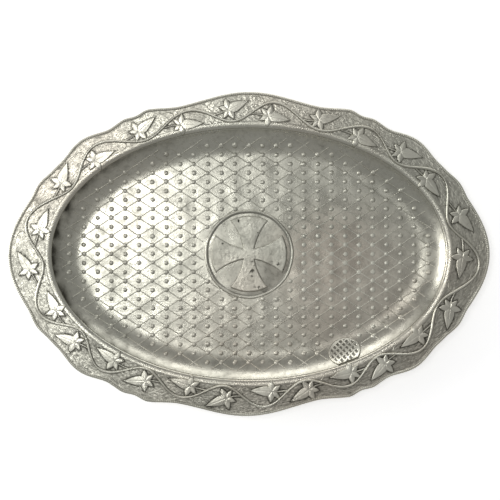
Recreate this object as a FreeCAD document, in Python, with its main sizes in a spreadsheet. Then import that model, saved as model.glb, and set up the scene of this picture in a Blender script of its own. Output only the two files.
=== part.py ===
"""Paten plate: an oval pewter tray with a shallow well and a scalloped, vine-wrought border.

Frame: millimetres, +Z up, origin on the table under the middle of the well, +X along the length.
The pan of the well carries a border plate soldered to its flange. A milled wire closes the
border's scalloped edge, a wavy stem and its ivy leaves are laid on the border, and a cross
pattee in a ring, and a small latticed plaque, are laid in the well.
"""

import FreeCAD, Part
import math
import os

from FreeCAD import Vector

# ---------------------------------------------------------------- driving sizes, in millimetres
SIZES = (
    ("lip_half_length", 98.8, "mouth of the well, half its length"),
    ("lip_half_width", 63.0, "mouth of the well, half its width"),
    ("well_depth", 8.5, "border land down to the floor of the well"),
    ("wall_run", 14.5, "how far the curved wall leans in, seen from above"),
    ("wall_sweep", 50.0, "degrees that the wall's curve turns through, from the floor up"),
    ("pan_thickness", 1.6, "metal of the well"),
    ("flange_width", 4.2, "seat of the border, outside the mouth"),
    ("flange_thickness", 1.4, "metal of that seat"),
    ("rim_thickness", 1.8, "metal of the border plate"),
    ("land_margin", 0.8, "flat land of the border past the flange"),
    ("border_slope", 0.03, "rise of the border per millimetre outwards"),
    ("border_at_ends", 17.9, "border and its wire at the ends, without the lobes"),
    ("border_at_sides", 14.3, "border and its wire at the sides, without the lobes"),
    ("edge_wire_width", 1.8, "milled wire round the border"),
    ("edge_wire_proud", 0.4, "how far that wire stands above and below the plate"),
    ("stem_width", 1.5, "vine stem"),
    ("stem_height", 1.1, "vine stem, above the border"),
    ("leaf_height", 1.0, "ivy leaves, above the border"),
    ("stalk_width", 0.9, "leaf stalks"),
    ("cross_reach", 19.4, "middle of the cross to the end of an arm"),
    ("cross_core", 5.8, "width of an arm at the middle of the cross"),
    ("cross_flare", 19.6, "width of an arm at its end"),
    ("cross_side_radius", 29.0, "hollow sides of the arms"),
    ("cross_height", 0.9, "cross, above the floor"),
    ("cross_bevel", 0.25, "bevel on its top edges"),
    ("ring_gap", 1.8, "cross to the inside of the ring"),
    ("ring_width", 1.4, "ring round the cross"),
    ("ring_height", 0.8, "ring, above the floor"),
    ("plaque_half_length", 7.8, "latticed plaque, along the wall"),
    ("plaque_half_width", 6.4, "latticed plaque, up the wall"),
    ("plaque_thickness", 0.9, "metal of the plaque"),
    ("plaque_inset", 6.0, "middle of the plaque to the mouth of the well"),
    ("plaque_place", -59.5, "where the plaque is, as the mouth ellipse's own angle"),
)

# Lobes of the outline in each quarter: middle, half width (degrees of the mouth ellipse's own
# angle, 0 at an end and 90 at a side) and height. The last is the nick in the third lobe.
END_LOBE = (0.0, 22.0, 3.8)
SIDE_LOBE = (90.0, 19.5, 3.9)
SMALL_LOBES = ((23.5, 6.0, 1.0), (42.0, 9.7, 2.5), (60.0, 11.4, 2.8), (59.0, 4.2, -1.5))
# The border was cut by hand and isn't quite even. These add up to nothing at the ends and sides.
SKEW, LEAN_LENGTHWISE, LEAN_SIDEWAYS = 0.72, -0.42, -0.24

# The vine. Shares are of the border's width at that place, or of its width at the sides.
WAVES = 13
FIRST_CREST_SHARE = 0.96
CREST_OUT_SHARE = 0.77
CREST_IN_SHARE = 0.20
# How far the maker set each crest from even spacing, as a share of one wave.
CREST_SHIFTS = (-0.11, -0.16, -0.04, 0.02, 0.16, 0.19, 0.13, 0.02, -0.02, -0.02, -0.02, -0.10, -0.08)
OUTER_LEAF = {"ahead": 0.04, "out": 0.54, "turn": 21.0, "stalk_to": 0.23}
INNER_LEAF = {"ahead": 0.09, "out": 0.36, "turn": -7.0, "stalk_to": 0.30}
# Leaf outline from its middle: reach as a share of the border at the sides, and the angle
# from the tip. Tips and the hollows between them take turns, down one side to the last lobe.
LEAF_POINTS = ((0.74, 0.0), (0.17, 47.0), (0.34, 84.0), (0.13, 112.0), (0.29, 144.0))
LEAF_BULGES = (0.07, 0.045, 0.035, 0.03, 0.018)
STALK_ROOT = 0.12

OUTLINE_STEPS = 288
STEM_STEPS_PER_WAVE = 14
ARC_TABLE_STEPS = 1440
WALL_SECTIONS = 6
PLAN_TALL = 60.0

doc = FreeCAD.newDocument("paten_plate")
sheet = doc.addObject("Spreadsheet::Sheet", "Sizes")
for row, (alias, value, note) in enumerate(SIZES, 1):
    sheet.set(f"A{row}", note)
    sheet.set(f"B{row}", str(value))
    sheet.setAlias(f"B{row}", alias)
doc.recompute()
size = {alias: float(sheet.get(alias)) for alias, value, note in SIZES}

LAND_LEVEL = "(Sizes.pan_thickness + Sizes.well_depth)"
SEAT_LEVEL = f"({LAND_LEVEL} - Sizes.rim_thickness)"
LAND_WIDTH = "(Sizes.flange_width + Sizes.land_margin)"


# ---------------------------------------------------------------- the mouth ellipse as a ruler
def mouth(angle, out=0.0):
    """Point at the mouth ellipse's own angle, in degrees, moved outwards square to the ellipse."""
    long, short = size["lip_half_length"], size["lip_half_width"]
    c, s = math.cos(math.radians(angle)), math.sin(math.radians(angle))
    normal = Vector(c / long, s / short, 0).normalize()
    return Vector(long * c, short * s, 0) + normal * out


def arc_table():
    """Length of the mouth ellipse from the +X end up to each of its ARC_TABLE_STEPS angles."""
    lengths = [0.0]
    for k in range(ARC_TABLE_STEPS):
        a, b = 360.0 * k / ARC_TABLE_STEPS, 360.0 * (k + 1) / ARC_TABLE_STEPS
        lengths.append(lengths[-1] + (mouth(b) - mouth(a)).Length)
    return lengths


ARC = arc_table()
GIRTH = ARC[-1]


def angle_at(length):
    """The mouth ellipse's own angle, in degrees, at a length along it from the +X end."""
    turns, rest = divmod(length, GIRTH)
    low, high = 0, ARC_TABLE_STEPS
    while high - low > 1:
        middle = (low + high) // 2
        low, high = (middle, high) if ARC[middle] <= rest else (low, middle)
    share = (rest - ARC[low]) / (ARC[low + 1] - ARC[low])
    return 360.0 * (turns + (low + share) / ARC_TABLE_STEPS)


def quarter_angle(angle):
    """The same place folded into the first quarter: 0 at an end, 90 at a side."""
    folded = angle % 180.0
    return min(folded, 180.0 - folded)


def lobe(angle, middle, half_width, height):
    """One smooth lobe: a cosine squared, nothing past its half width."""
    away = abs(quarter_angle(angle) - middle) / half_width
    return height * math.cos(math.pi / 2 * away) ** 2 if away < 1 else 0.0


def border_width(angle):
    """Border with its wire at that angle, with the end and side lobes and without the small ones."""
    turn = math.radians(angle)
    ends = math.cos(turn) ** 2
    plain = size["border_at_sides"] * (1 - ends) + size["border_at_ends"] * ends
    uneven = (
        SKEW * math.sin(2 * turn)
        + LEAN_LENGTHWISE * (math.cos(turn) - math.cos(3 * turn))
        + LEAN_SIDEWAYS * (math.sin(turn) + math.sin(3 * turn))
    )
    return plain + uneven + lobe(angle, *END_LOBE) + lobe(angle, *SIDE_LOBE)


def outline(angle, back=0.0):
    """Point of the scalloped outline, or back millimetres inside it."""
    small = sum(lobe(angle, *one) for one in SMALL_LOBES)
    return mouth(angle, border_width(angle) + small - back)


# ---------------------------------------------------------------- plan shapes
def closed_curve(points):
    """One smooth closed wire through the points."""
    curve = Part.BSplineCurve()
    curve.interpolate(Points=points, PeriodicFlag=True)
    return Part.Wire(curve.toShape())


def outline_wire(back):
    """The scalloped outline, or the same wire back millimetres inside it."""
    return closed_curve([outline(360.0 * k / OUTLINE_STEPS, back) for k in range(OUTLINE_STEPS)])


def ring_face(outer, inner):
    """The flat face between two closed wires."""
    return Part.makeFace([outer, inner], "Part::FaceMakerBullseye")


def crest_place(number):
    """Length along the mouth at which that crest of the vine stands; numbers run on past one turn."""
    wave = GIRTH / WAVES
    return (number + FIRST_CREST_SHARE + CREST_SHIFTS[number % WAVES]) * wave


def trough_place(number):
    """Halfway from the crest before to that crest."""
    return (crest_place(number - 1) + crest_place(number)) / 2


def stem_point(number, share):
    """Middle of the stem, a share of the way from one crest to the next."""
    along = crest_place(number) * (1 - share) + crest_place(number + 1) * share
    angle = angle_at(along)
    swing = (1 + math.cos(2 * math.pi * share)) / 2
    out = CREST_IN_SHARE + (CREST_OUT_SHARE - CREST_IN_SHARE) * swing
    return mouth(angle, out * border_width(angle))


def stem_share_at(number, along):
    """Share of the way from crest number to the next at a length along the mouth."""
    start, end = crest_place(number), crest_place(number + 1)
    return (along - start) / (end - start)


def stem_middle():
    """The stem's middle line, as points once round the border."""
    return [
        stem_point(number, k / STEM_STEPS_PER_WAVE)
        for number in range(WAVES)
        for k in range(STEM_STEPS_PER_WAVE)
    ]


def stem_face():
    """Plan of the stem: a band of its width along its middle line."""
    line = stem_middle()
    sides = ([], [])
    for k, point in enumerate(line):
        along = (line[(k + 1) % len(line)] - line[k - 1]).normalize()
        across = Vector(along.y, -along.x, 0) * (size["stem_width"] / 2)
        sides[0].append(point + across)
        sides[1].append(point - across)
    return ring_face(closed_curve(sides[0]), closed_curve(sides[1]))


def bulged_edge(start, end, bulge):
    """An arc from start to end that stands bulge millimetres off its chord, on the right of it."""
    chord = end - start
    side = Vector(chord.y, -chord.x, 0).normalize() * bulge
    return Part.Arc(start, (start + end) / 2 + side, end).toShape()


def turned(way, angle):
    """A flat direction turned by an angle in degrees."""
    c, s = math.cos(math.radians(angle)), math.sin(math.radians(angle))
    return Vector(way.x * c - way.y * s, way.x * s + way.y * c, 0)


def leaf_face(middle, tip_way, stalk_end):
    """Plan of one ivy leaf: five pointed lobes round its middle, and a stalk out to stalk_end."""
    unit = size["border_at_sides"]
    half = {
        side: [middle + turned(tip_way, side * angle) * (reach * unit) for reach, angle in LEAF_POINTS]
        for side in (1, -1)
    }
    left_of_tip = turned(tip_way, 90) * (size["stalk_width"] / 2)
    root = middle - tip_way * (STALK_ROOT * unit)
    back = (stalk_end - root).normalize()
    left_of_stalk = turned(back, -90) * (size["stalk_width"] / 2)
    # The stalk leaves the leaf straight back and bends to reach the stem.
    bend = math.asin(tip_way.cross(back).z)
    bow = -(stalk_end - root).Length / 2 * math.tan(bend / 2)
    corners = half[1] + [root + left_of_tip, stalk_end + left_of_stalk]
    corners += [stalk_end - left_of_stalk, root - left_of_tip] + half[-1][:0:-1]
    lobed = [bulge * unit for bulge in LEAF_BULGES]
    bulges = lobed + [bow, 0.0, -bow] + lobed[::-1]
    edges = []
    for k, bulge in enumerate(bulges):
        start, end = corners[k], corners[(k + 1) % len(corners)]
        straight = abs(bulge) < 0.001
        edges.append(Part.makeLine(start, end) if straight else bulged_edge(start, end, bulge))
    return Part.Face(Part.Wire(edges))


def leaf_plan(number, outer):
    """Leaf and stalk beside crest number, outside the stem's trough or inside its crest."""
    kind = OUTER_LEAF if outer else INNER_LEAF
    wave = crest_place(number + 1) - crest_place(number)
    home = trough_place(number + 1) if outer else crest_place(number)
    angle = angle_at(home + kind["ahead"] * wave)
    middle = mouth(angle, kind["out"] * border_width(angle))
    onwards = (mouth(angle - 1) - mouth(angle + 1)).normalize()
    joint = home + kind["stalk_to"] * wave
    before = number if joint < crest_place(number + 1) else number + 1
    return leaf_face(middle, turned(onwards, kind["turn"]), stem_point(before, stem_share_at(before, joint)))


# ---------------------------------------------------------------- document helpers
def bound(kind, name, **expressions):
    """A document object with its properties bound to the sheet's cells."""
    made = doc.addObject(kind, name)
    for path, expression in expressions.items():
        made.setExpression(path.replace("__", "."), expression)
    return made


def ellipse(name, grow, level):
    """An ellipse that many millimetres outside the mouth, at a level; both are expressions."""
    return bound(
        "Part::Ellipse",
        name,
        MajorRadius=f"Sizes.lip_half_length + {grow}",
        MinorRadius=f"Sizes.lip_half_width + {grow}",
        Placement__Base__z=level,
    )


def loft(name, sections, ruled):
    made = doc.addObject("Part::Loft", name)
    made.Sections = sections
    made.Solid = True
    made.Ruled = ruled
    return made


def combined(kind, name, base, tool):
    made = doc.addObject(kind, name)
    made.Base = base
    made.Tool = tool
    return made


def fused(name, shapes):
    made = doc.addObject("Part::MultiFuse", name)
    made.Shapes = shapes
    return made


def plan(name, face):
    """A flat face worked out above, kept in the document."""
    made = doc.addObject("Part::Feature", name)
    made.Shape = face
    return made


def extruded(name, base, length, level="0"):
    """A plan or closed curve extruded upwards from a level."""
    made = bound("Part::Extrusion", name, LengthFwd=length)
    made.Base = base
    made.DirMode = "Custom"
    made.Dir = Vector(0, 0, 1)
    made.Solid = True
    made.setExpression("Placement.Base.z", level)
    return made


def tall(name, face):
    """A plan extruded through every level that the border has."""
    return extruded(name + "_blank", plan(name + "_plan", face), str(PLAN_TALL))


# ---------------------------------------------------------------- the well
def wall_sections(name, shrink, lift):
    """Ellipses up the well's curved wall, which turns through wall_sweep degrees from the floor."""
    sections = []
    for k in range(WALL_SECTIONS):
        turn = f"(Sizes.wall_sweep * {k} / {WALL_SECTIONS - 1})"
        run = f"(1 - sin({turn} * 1deg) / sin(Sizes.wall_sweep * 1deg))"
        rise = f"((1 - cos({turn} * 1deg)) / (1 - cos(Sizes.wall_sweep * 1deg)))"
        wall_height = f"(Sizes.well_depth - Sizes.rim_thickness - {lift})"
        sections.append(
            ellipse(
                f"{name}_{k}",
                f"(0 - Sizes.wall_run * {run} - {shrink})",
                f"Sizes.pan_thickness + {lift} + {wall_height} * {rise}",
            )
        )
    return sections


def make_well():
    """Pan: an outer shell and a flange, hollowed by the inside of the well."""
    hollow = loft("well_hollow", wall_sections("hollow", "0", "0"), False)
    grown = wall_sections("shell", "(0 - Sizes.pan_thickness)", "(0 - Sizes.pan_thickness)")
    shell = loft("well_shell", grown, False)
    flange_edge = ellipse("flange_edge", "Sizes.flange_width", f"{SEAT_LEVEL} - Sizes.flange_thickness")
    flange = extruded("well_flange", flange_edge, "Sizes.flange_thickness")
    return combined("Part::Cut", "well", fused("well_body", [shell, flange]), hollow), hollow


# ---------------------------------------------------------------- layers that follow the border
def above_border(name, lift):
    """Everything over the border's surface lifted by an expression: flat land, then its slope."""
    reach = "Sizes.border_at_ends * 3"
    far_out = f"({LAND_WIDTH} + {reach})"
    far_level = f"{LAND_LEVEL} + {lift} + {reach} * Sizes.border_slope"
    sections = [
        ellipse(name + "_land", LAND_WIDTH, f"{LAND_LEVEL} + {lift}"),
        ellipse(name + "_guide", far_out, far_level),
        ellipse(name + "_lid", far_out, f"{far_level} + {PLAN_TALL}"),
    ]
    return loft(name, sections, True)


def layer(name, low, high):
    """The layer of metal between two heights over the border's surface."""
    return combined(
        "Part::Cut", name, above_border(name + "_low", low), above_border(name + "_high", high)
    )


def make_rim():
    """Border plate: its layer inside the scalloped outline, open over the well."""
    metal = layer("rim_layer", "(0 - Sizes.rim_thickness)", "0")
    blank = tall("rim", Part.Face(outline_wire(size["edge_wire_width"])))
    opening = extruded("rim_opening", ellipse("mouth", "0", "0"), str(PLAN_TALL))
    return combined("Part::Cut", "rim", combined("Part::Common", "rim_plate", metal, blank), opening)


def make_edge_wire():
    """Milled wire: closes the plate's edge and stands proud of it above and below."""
    metal = layer(
        "edge_wire_layer", "(0 - Sizes.rim_thickness - Sizes.edge_wire_proud)", "Sizes.edge_wire_proud"
    )
    blank = tall("edge_wire", ring_face(outline_wire(0.0), outline_wire(size["edge_wire_width"])))
    return combined("Part::Common", "edge_wire", metal, blank)


def make_vine():
    """Stem, laid on the border."""
    blank = tall("vine_stem", stem_face())
    return combined("Part::Common", "vine_stem", layer("stem_layer", "0", "Sizes.stem_height"), blank), blank


def make_leaf(name, number, outer, leaf_metal, stem_blank):
    """One ivy leaf with its stalk, laid on the border and butted against the stem."""
    blank = tall(name, leaf_plan(number, outer))
    trimmed = combined("Part::Cut", name + "_trimmed", blank, stem_blank)
    return combined("Part::Common", name, trimmed, leaf_metal)


# ---------------------------------------------------------------- ornaments in the well
def origin_plane(body, role):
    return next(feature for feature in body.Origin.OriginFeatures if feature.Role == role)


def floor_body(name):
    """A PartDesign body that stands on the floor of the well."""
    return bound("PartDesign::Body", name, Placement__Base__z="Sizes.pan_thickness")


def sketch_on(body, name, role):
    sketch = body.newObject("Sketcher::SketchObject", name)
    sketch.AttachmentSupport = (origin_plane(body, role), [""])
    sketch.MapMode = "FlatFace"
    return sketch


def dimension(sketch, name, expression, *constraint):
    """A named constraint bound to the sheet."""
    index = sketch.addConstraint(Sketcher.Constraint(*constraint))
    sketch.renameConstraint(index, name)
    sketch.setExpression(f"Constraints.{name}", expression)


def make_cross():
    """Cross pattee: one flared arm through the middle, then a pattern of four."""
    body = floor_body("cross")
    arm = sketch_on(body, "cross_arm", "XY_Plane")
    core, flare, reach = size["cross_core"] / 2, size["cross_flare"] / 2, size["cross_reach"]
    height = math.sqrt(reach**2 - flare**2)
    inner = {side: Vector(side * core, core, 0) for side in (-1, 1)}
    tips = {side: Vector(side * flare, height, 0) for side in (-1, 1)}
    foot = {side: Vector(side * core, -core, 0) for side in (-1, 1)}

    def hollow_side(side):
        """Arc from the middle of the cross to an arm's corner, hollow on the outside."""
        chord = tips[side] - inner[side]
        radius = size["cross_side_radius"]
        sink = radius - math.sqrt(radius**2 - (chord.Length / 2) ** 2)
        inwards = Vector(-side * chord.y, side * chord.x, 0).normalize()
        return Part.Arc(inner[side], (inner[side] + tips[side]) / 2 + inwards * sink, tips[side])

    end = Part.ArcOfCircle(
        Part.Circle(Vector(), Vector(0, 0, 1), reach),
        math.atan2(height, flare),
        math.atan2(height, -flare),
    )
    bottom, right, left = (
        Part.LineSegment(foot[-1], foot[1]),
        Part.LineSegment(foot[1], inner[1]),
        Part.LineSegment(foot[-1], inner[-1]),
    )
    arm.addGeometry([bottom, right, left, end, hollow_side(1), hollow_side(-1)], False)
    start, finish, centre = 1, 2, 3
    far = {
        g: finish if (arm.getPoint(g, finish) - arm.getPoint(3, w)).Length < 1e-6 else start
        for g, w in ((4, start), (5, finish))
    }
    near = {g: start + finish - far[g] for g in far}
    for first, first_end, second, second_end in (
        (0, finish, 1, start),
        (0, start, 2, start),
        (1, finish, 4, near[4]),
        (2, finish, 5, near[5]),
        (4, far[4], 3, start),
        (5, far[5], 3, finish),
        (3, centre, -1, start),
    ):
        arm.addConstraint(Sketcher.Constraint("Coincident", first, first_end, second, second_end))
    arm.addConstraint(Sketcher.Constraint("Vertical", 1))
    arm.addConstraint(Sketcher.Constraint("Vertical", 2))
    arm.addConstraint(Sketcher.Constraint("Horizontal", 3, start, 3, finish))
    arm.addConstraint(Sketcher.Constraint("Symmetric", 0, start, 0, finish, -2))
    dimension(arm, "core_right", "Sizes.cross_core", "Distance", 1, size["cross_core"])
    dimension(arm, "core_left", "Sizes.cross_core", "Distance", 2, size["cross_core"])
    dimension(arm, "core_bottom", "Sizes.cross_core", "Distance", 0, size["cross_core"])
    dimension(
        arm, "core_level", "Sizes.cross_core / 2", "DistanceY", 0, start, -1, start, size["cross_core"] / 2
    )
    dimension(arm, "reach", "Sizes.cross_reach", "Radius", 3, reach)
    dimension(
        arm, "flare", "Sizes.cross_flare", "DistanceX", 3, finish, 3, start, size["cross_flare"]
    )
    dimension(arm, "side_right", "Sizes.cross_side_radius", "Radius", 4, size["cross_side_radius"])
    dimension(arm, "side_left", "Sizes.cross_side_radius", "Radius", 5, size["cross_side_radius"])
    pad = body.newObject("PartDesign::Pad", "cross_pad")
    pad.Profile = arm
    pad.setExpression("Length", "Sizes.cross_height")
    doc.recompute()
    four = body.newObject("PartDesign::PolarPattern", "cross_arms")
    four.Originals = [pad]
    four.Axis = (arm, ["N_Axis"])
    four.Angle = 360
    four.Occurrences = 4
    body.Tip = four
    doc.recompute()
    top = next(
        f"Face{k}"
        for k, face in enumerate(four.Shape.Faces, 1)
        if abs(face.CenterOfMass.z - size["cross_height"]) < 1e-6
    )
    bevel = body.newObject("PartDesign::Chamfer", "cross_bevel")
    bevel.Base = (four, [top])
    bevel.setExpression("Size", "Sizes.cross_bevel")
    body.Tip = bevel
    return body


def make_cross_ring():
    """Round-topped ring, revolved about the middle of the cross."""
    body = floor_body("cross_ring")
    profile = sketch_on(body, "ring_profile", "XZ_Plane")
    inside = size["cross_reach"] + size["ring_gap"]
    outside = inside + size["ring_width"]
    middle = (inside + outside) / 2
    top = size["ring_height"]
    profile.addGeometry(
        [
            Part.LineSegment(Vector(inside, 0, 0), Vector(outside, 0, 0)),
            Part.Arc(Vector(outside, 0, 0), Vector(middle, top, 0), Vector(inside, 0, 0)),
        ],
        False,
    )
    start, finish = 1, 2
    ends = (
        (finish, start)
        if (profile.getPoint(1, start) - Vector(outside, 0, 0)).Length < 1e-6
        else (start, finish)
    )
    profile.addConstraint(Sketcher.Constraint("Coincident", 0, finish, 1, ends[1]))
    profile.addConstraint(Sketcher.Constraint("Coincident", 0, start, 1, ends[0]))
    profile.addConstraint(Sketcher.Constraint("PointOnObject", 0, start, -1))
    profile.addConstraint(Sketcher.Constraint("Horizontal", 0))
    dimension(profile, "width", "Sizes.ring_width", "Distance", 0, size["ring_width"])
    dimension(
        profile, "inside", "Sizes.cross_reach + Sizes.ring_gap", "DistanceX", -1, start, 0, start, inside
    )
    half_squared = (size["ring_width"] / 2) ** 2
    dimension(
        profile,
        "crown",
        "(Sizes.ring_width ^ 2 / 4 + Sizes.ring_height ^ 2) / (2 * Sizes.ring_height)",
        "Radius",
        1,
        (half_squared + top**2) / (2 * top),
    )
    spin = body.newObject("PartDesign::Revolution", "ring_spin")
    spin.Profile = profile
    spin.ReferenceAxis = (profile, ["V_Axis"])
    spin.Angle = 360
    body.Tip = spin
    return body


def make_mark_plaque(hollow):
    """Small oval plaque that lies on the floor's edge and up the wall, below the border."""
    lining = combined(
        "Part::Cut",
        "plaque_lining",
        hollow,
        loft(
            "plaque_over",
            wall_sections("plaque", "Sizes.plaque_thickness", "Sizes.plaque_thickness"),
            False,
        ),
    )
    oval = bound(
        "Part::Ellipse",
        "plaque_oval",
        MajorRadius="Sizes.plaque_half_length",
        MinorRadius="Sizes.plaque_half_width",
    )
    place = size["plaque_place"]
    along = mouth(place + 1) - mouth(place - 1)
    oval.Placement = FreeCAD.Placement(
        mouth(place, -size["plaque_inset"]),
        FreeCAD.Rotation(Vector(0, 0, 1), math.degrees(math.atan2(along.y, along.x))),
    )
    doc.recompute()
    blank = extruded("plaque_blank", oval, str(PLAN_TALL))
    return combined("Part::Common", "mark_plaque", lining, blank)


# ---------------------------------------------------------------- build, test and write
import Sketcher  # noqa: E402  the constraints of the sketches above


def build():
    well, hollow = make_well()
    stem, stem_blank = make_vine()
    leaf_metal = layer("leaf_layer", "0", "Sizes.leaf_height")
    pieces = [well, make_rim(), make_edge_wire(), stem]
    for number in range(WAVES):
        pieces.append(make_leaf(f"outer_leaf_{number + 1:02d}", number, True, leaf_metal, stem_blank))
        pieces.append(make_leaf(f"inner_leaf_{number + 1:02d}", number, False, leaf_metal, stem_blank))
    pieces += [make_cross(), make_cross_ring(), make_mark_plaque(hollow)]
    doc.recompute()
    return pieces


def test(pieces):
    """Stops on an object that failed, and on a piece that isn't closed solids."""
    for made in doc.Objects:
        if "Invalid" in made.State or "Error" in made.State:
            raise RuntimeError(f"{made.Name} failed: {made.State}")
    for piece in pieces:
        shape = piece.Shape
        if shape.isNull() or not shape.isValid() or not shape.Solids:
            raise RuntimeError(f"{piece.Label} is not a sound solid")


def write(pieces):
    os.makedirs("parts", exist_ok=True)
    for piece in pieces:
        piece.Shape.exportStep(f"parts/{piece.Label}.step")
        print(f"{piece.Label}: {len(piece.Shape.Solids)} solid, {piece.Shape.Volume:.0f} mm3")


made_pieces = build()
test(made_pieces)
write(made_pieces)
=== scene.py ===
# %% [markdown]
# # An antique pewter paten plate
#
# The plate is an oval tray with a shallow studded well, a cross in a ring at its middle, and a
# scalloped border where a wavy vine carries ivy leaves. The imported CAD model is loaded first. Each
# finished piece takes its place from the CAD pieces' boxes, and then stands for the plain piece.

# %% Load the frame
import math

import bmesh
import bpy
import numpy as np
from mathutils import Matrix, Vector


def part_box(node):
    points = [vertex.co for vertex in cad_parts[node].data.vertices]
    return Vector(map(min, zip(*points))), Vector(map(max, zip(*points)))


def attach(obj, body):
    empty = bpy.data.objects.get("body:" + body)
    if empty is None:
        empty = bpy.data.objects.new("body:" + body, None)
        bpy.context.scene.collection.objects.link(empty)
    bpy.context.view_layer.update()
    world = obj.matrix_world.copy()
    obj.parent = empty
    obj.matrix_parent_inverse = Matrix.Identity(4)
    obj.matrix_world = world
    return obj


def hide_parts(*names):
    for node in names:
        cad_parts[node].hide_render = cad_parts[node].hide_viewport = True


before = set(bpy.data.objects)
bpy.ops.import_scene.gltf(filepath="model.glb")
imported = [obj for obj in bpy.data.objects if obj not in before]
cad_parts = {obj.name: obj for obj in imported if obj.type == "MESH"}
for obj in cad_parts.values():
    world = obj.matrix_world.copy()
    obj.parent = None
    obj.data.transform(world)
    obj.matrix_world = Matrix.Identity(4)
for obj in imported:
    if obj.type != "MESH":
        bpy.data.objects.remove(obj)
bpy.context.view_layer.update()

MM = 0.001
ROOT = "root"
rng = np.random.default_rng(26)
scene = bpy.context.scene
print("CAD pieces:", len(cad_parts))

# %% [markdown]
# ## Sizes
#
# A silversmith would read the levels off the drawing. Here they come from the boxes of the CAD
# pieces: the floor of the well, the flat land of the border, and the half length and half width of
# the well's mouth. The sizes that a box can't tell, such as a thickness, are the CAD part's own.
# Working in millimetres keeps the numbers readable, and one scale turns them into Blender's metres
# when a mesh is made.


# %% Read the levels and the mouth of the well
def box_mm(node):
    """Lowest and highest corner of a CAD piece, in millimetres."""
    low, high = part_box(node)
    return np.array(low) / MM, np.array(high) / MM


well_high = box_mm("well")[1]
FLANGE = 4.2
MOUTH_LONG = well_high[0] - FLANGE
MOUTH_SHORT = well_high[1] - FLANGE
SEAT = well_high[2]
PLATE = 1.8
LAND = SEAT + PLATE
FLOOR = box_mm("cross")[0][2]
BORDER_AT_SIDES, BORDER_AT_ENDS = 14.3, 17.9
LAND_WIDTH = 5.0
SLOPE = 0.03
LIP_REACH, LIP_DROP = 2.8, 1.3
WIRE_WIDTH = 1.8
WALL_RUN = 14.5
WALL_SWEEP = math.radians(50.0)
print(f"mouth {2 * MOUTH_LONG:.1f} x {2 * MOUTH_SHORT:.1f} mm, floor {FLOOR:.2f}, land {LAND:.2f}")

# %% [markdown]
# ## The border's own ruler
#
# Everything on the border is so far along the mouth of the well and so far out from it. These
# functions turn that pair of numbers into a place. They work on whole arrays at once.


# %% Places along and out from the mouth
def unit(ways):
    """Vectors made 1 long."""
    return ways / np.linalg.norm(ways, axis=-1, keepdims=True)


def right_of(ways):
    """Flat directions turned a quarter to the right."""
    return np.stack([ways[..., 1], -ways[..., 0]], -1)


def lengths_along(path):
    """Length of a path from its first point up to each of its points."""
    steps = np.linalg.norm(np.diff(path, axis=0), axis=1)
    return np.concatenate([[0], np.cumsum(steps)])


def mouth(angle, out=0.0):
    """x and y at the mouth ellipse's own angle, in degrees, moved outwards square to the ellipse."""
    c, s = np.cos(np.radians(angle)), np.sin(np.radians(angle))
    nx, ny = c / MOUTH_LONG, s / MOUTH_SHORT
    length = np.hypot(nx, ny)
    return np.stack([MOUTH_LONG * c + out * nx / length, MOUTH_SHORT * s + out * ny / length], -1)


ARC_ANGLES = np.linspace(0, 360, 3601)
ARC_LENGTHS = lengths_along(mouth(ARC_ANGLES))
GIRTH = ARC_LENGTHS[-1]


def angle_at(along):
    """The mouth ellipse's own angle at a length along it: the length table read backwards."""
    turns = np.floor(np.asarray(along) / GIRTH)
    return np.interp(along - turns * GIRTH, ARC_LENGTHS, ARC_ANGLES) + 360 * turns


def lobe(angle, middle, half_width, height):
    """One lobe in each quarter: height times cosine squared, nothing past its half width."""
    folded = np.mod(angle, 180)
    folded = np.minimum(folded, 180 - folded)
    away = np.clip(np.abs(folded - middle) / half_width, 0, 1)
    return height * np.cos(np.pi / 2 * away) ** 2


def border_width(angle):
    """Width of the border and its wire, without the small lobes: wider at the ends, a bit uneven."""
    turn = np.radians(angle)
    ends = np.cos(turn) ** 2
    uneven = 0.72 * np.sin(2 * turn) - 0.42 * (np.cos(turn) - np.cos(3 * turn))
    uneven = uneven - 0.24 * (np.sin(turn) + np.sin(3 * turn))
    plain = BORDER_AT_SIDES * (1 - ends) + BORDER_AT_ENDS * ends + uneven
    return plain + lobe(angle, 0, 22, 3.8) + lobe(angle, 90, 19.5, 3.9)


def outline_out(angle):
    """How far out the scalloped outline is: the border's width and its small lobes and nicks."""
    small = lobe(angle, 23.5, 6, 1.0) + lobe(angle, 42, 9.7, 2.5)
    return border_width(angle) + small + lobe(angle, 60, 11.4, 2.8) + lobe(angle, 59, 4.2, -1.5)


def flat_height(out):
    """Level of the border without its rounded lip: the flat land, then its slight rise."""
    return LAND + SLOPE * np.clip(out - LAND_WIDTH, 0, None)


def lip_drop(out):
    """How far the rounded lip falls below the land: a quarter of an ellipse next to the mouth."""
    short = np.clip((LIP_REACH - np.asarray(out)) / LIP_REACH, 0, 0.995)
    return LIP_DROP * (1 - np.sqrt(1 - short**2))


def border_height(out):
    """Level of the border's surface."""
    return flat_height(out) - lip_drop(out)


def out_from_mouth(places):
    """About how far out from the mouth x, y places are: the ellipse's value over its slope."""
    x, y = places[..., 0] / MOUTH_LONG, places[..., 1] / MOUTH_SHORT
    size = np.hypot(x, y)
    slope = np.hypot(x / MOUTH_LONG, y / MOUTH_SHORT) / size
    return (size - 1) / slope


print(f"the mouth is {GIRTH:.1f} mm round")

# %% [markdown]
# ## Turning numbers into meshes
#
# Nearly every piece is a grid: one direction runs along the piece and the other across it, and its
# faces are always the four neighbours. Closed pieces join their last row to the first.
# `foreach_set` copies an array straight into the mesh, which is quicker than adding single points.


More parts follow.
